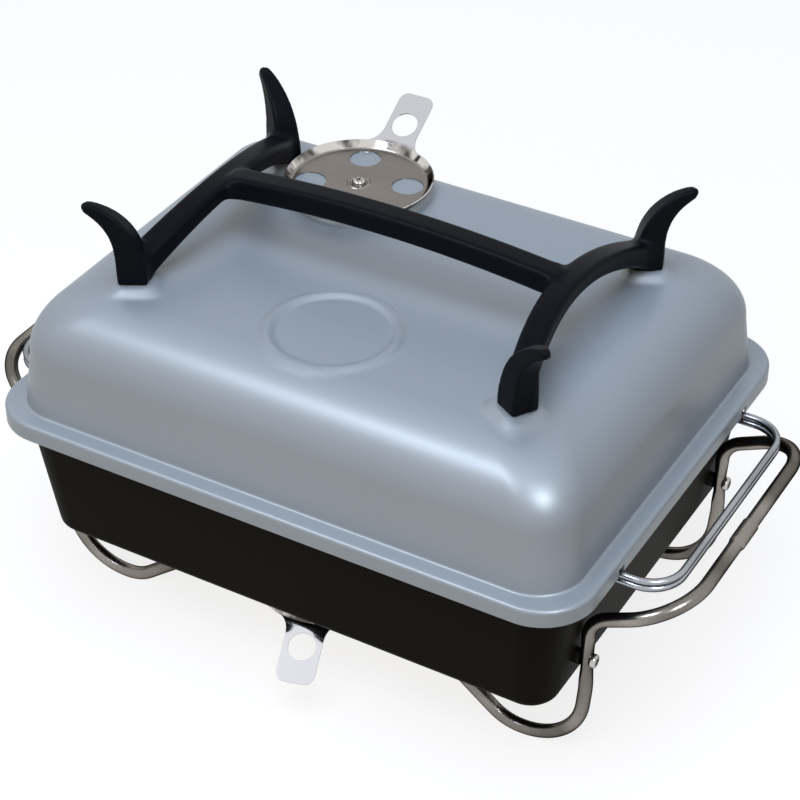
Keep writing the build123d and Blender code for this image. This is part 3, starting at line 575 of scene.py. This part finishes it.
def skin_of(field, corner, step):
    """Points and faces where field is 0: one point per grid cell of mixed signs, at the mean of the crossings on its
    edges, and one face round each grid edge whose ends differ in sign."""
    size = np.array(field.shape)
    inside = field < 0
    offsets = np.array([(i, j, k) for i in (0, 1) for j in (0, 1) for k in (0, 1)])
    blocks = [tuple(slice(o, o + n - 1) for o, n in zip(off, size)) for off in offsets]
    count = sum(inside[b].astype(np.int8) for b in blocks)
    cells = np.argwhere((count > 0) & (count < 8))
    number = np.full(size - 1, -1)
    number[tuple(cells.T)] = np.arange(len(cells))
    values = np.stack([field[tuple((cells + off).T)] for off in offsets], 1)
    total, hits = np.zeros((len(cells), 3)), np.zeros(len(cells))
    for p in range(8):
        for q in range(p + 1, 8):
            if np.abs(offsets[p] - offsets[q]).sum() != 1:
                continue
            a, b = values[:, p], values[:, q]
            crossed = (a < 0) != (b < 0)
            share = np.where(crossed, a / np.where(crossed, a - b, 1), 0)[:, None]
            total += crossed[:, None] * (offsets[p] + share * (offsets[q] - offsets[p]))
            hits += crossed
    points = corner + step * (cells + total / hits[:, None])
    faces = []
    for axis in range(3):
        side, other = [(1, 2), (2, 0), (0, 1)][axis]
        ahead = np.take(inside, np.arange(1, size[axis]), axis)
        behind = np.take(inside, np.arange(size[axis] - 1), axis)
        edges = np.argwhere(ahead != behind)
        out = behind[tuple(edges.T)]
        around = []
        for ds, do in ((0, 0), (1, 0), (1, 1), (0, 1)):
            cell = edges.copy()
            cell[:, side] -= ds
            cell[:, other] -= do
            around.append(number[tuple(cell.T)])
        quad = np.stack(around, 1)
        faces.append(np.where(out[:, None], quad, quad[:, ::-1]))
    return points, np.concatenate(faces)


def soft_min(a, b, reach):
    """The smaller of two distances, rounded off where they differ by less than reach."""
    return np.minimum(a, b) - np.clip(1 - np.abs(a - b) / reach, 0, None) ** 2 * reach / 4


def rounded(p, q, edge):
    """Distance to where two slabs meet, from the distances p and q to each of them, with the corner rounded."""
    p, q = p + edge, q + edge
    return np.hypot(np.maximum(p, 0), np.maximum(q, 0)) + np.minimum(np.maximum(p, q), 0) - edge


def bars_field(x, y, z):
    """Two bowed arms along Y and the arched bar between them, as rounded slabs: a plan distance that joins them with
    hollow corners, and a top and underside that fall with the square of the distance from the middle."""
    ax, ay = np.abs(x), np.abs(y)
    share = (ay / foot_y) ** 2
    arm = np.maximum((np.abs(ax - arm_x - arm_bow * share) - half_bar) * 0.98, ay - foot_y)
    bar = np.maximum(ay - half_bar, ax - arm_x)
    plan = soft_min(bar, arm, np.where((x > 0) & (y < 0), 5.0, 11.0))
    part = 1 / (1 + np.exp((bar - arm) / 2.0))
    along = (ax / arm_x) ** 2
    top = part * (bar_top - bar_fall_top * along) + (1 - part) * (arm_top - arm_fall_top * share)
    low = part * (bar_low - bar_fall_low * along)
    low = low + (1 - part) * np.maximum(pad_z - lip_z, arm_low - arm_fall_low * share)
    return rounded(plan, np.abs(z - lip_z - (top + low) / 2) - (top - low) / 2, bar_edge)


def horn_field(along, across, up):
    """One foot and horn as a row of thin rounded slabs on a rising curve: along and across run out from the foot's
    middle in plan, up from the pad. The table holds reach, height, lean, thickness and width."""
    table = np.array([(0.5, -1.0, 0.0, 20.5, 20.5), (1.4, 14.5, 4.0, 20.0, 19.5), (3.6, 28.0, 13.0, 18.0, 18.0),
                      (8.4, 39.5, 29.0, 14.0, 15.5), (15.8, 48.6, 45.0, 11.5, 12.5), (23.4, 54.2, 57.0, 8.8, 9.6),
                      (29.3, 57.2, 65.0, 6.4, 7.2)])
    t = np.linspace(0, 6, 61)
    fits = [np.polynomial.Polynomial.fit(np.arange(7), column, 4)(t) for column in table.T]
    field = np.full(np.broadcast_shapes(along.shape, across.shape, up.shape), 99.0)
    for reach, height, lean, thick, wide in zip(*fits):
        s, c = np.sin(np.radians(lean)), np.cos(np.radians(lean))
        u = (along - reach) * s + (up - height) * c
        v = (along - reach) * c - (up - height) * s
        slab = rounded(np.abs(v) - thick / 2, np.abs(across) - wide / 2, 0.1 * min(thick, wide))
        field = np.minimum(field, np.maximum(slab, np.abs(u) - 0.9))
    tip = np.sqrt((along - fits[0][-1]) ** 2 + across ** 2 + (up - fits[1][-1]) ** 2) - 3.3
    return np.minimum(field, tip)


# The horns' field is added to that of the bars at all four corners, and the whole is softened a little.
x = np.arange(-186.0, 186.5, 1.0)[:, None, None]
y = np.arange(-124.0, 124.5, 1.0)[None, :, None]
z = np.arange(-3.0, 63.5, 1.0)[None, None, :] + pad_z
field = bars_field(x, y, z).astype(np.float32)
far_x, far_y = np.flatnonzero(x.ravel() > 120), np.flatnonzero(y.ravel() > 70)
px, py = x[far_x] - feet[3][0], y[:, far_y] - feet[3][1]
cos30, sin30 = np.cos(feet[3][2]), np.sin(feet[3][2])
horn = horn_field(px * cos30 + py * sin30, py * cos30 - px * sin30, z - pad_z)
for at_x in (far_x, x.size - 1 - far_x):
    for at_y in (far_y, y.size - 1 - far_y):
        cells = np.ix_(at_x, at_y, np.arange(z.size))
        field[cells] = soft_min(field[cells], horn, 6.0)
for axis in range(3):
    field = (np.roll(field, 1, axis) + 2 * field + np.roll(field, -1, axis)) / 4
field = np.maximum(field, pad_z - z)
points, faces = skin_of(field, np.array([x[0, 0, 0], y[0, 0, 0], z[0, 0, 0]]), 1.0)

# Glass-filled nylon from a spark-eroded mould: a fine even grain, drawn at 1.4 mm, that breaks up a low gloss.
plastic, tree = coated("black_moulded_plastic")
place = add(tree, "ShaderNodeTexCoord")
spark = add(tree, "ShaderNodeTexNoise", {"Vector": place.outputs["Object"], "Scale": 1 / (1.43 * mm), "Detail": 2.0})
grain = add(tree, "ShaderNodeBump", {"Height": spark.outputs["Fac"], "Strength": 0.15, "Distance": 0.0003})
mould = add(tree, "ShaderNodeBsdfPrincipled", {
    "Base Color": linear("0c0f14"), "Roughness": 0.40, "Specular IOR Level": 0.05, "Normal": grain.outputs["Normal"]})
add(tree, "ShaderNodeOutputMaterial", {"Surface": mould.outputs[0]})
handle = mesh_object("lid_handle_moulding", points * mm, faces, plastic, "lid")
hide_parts("lid_handle")
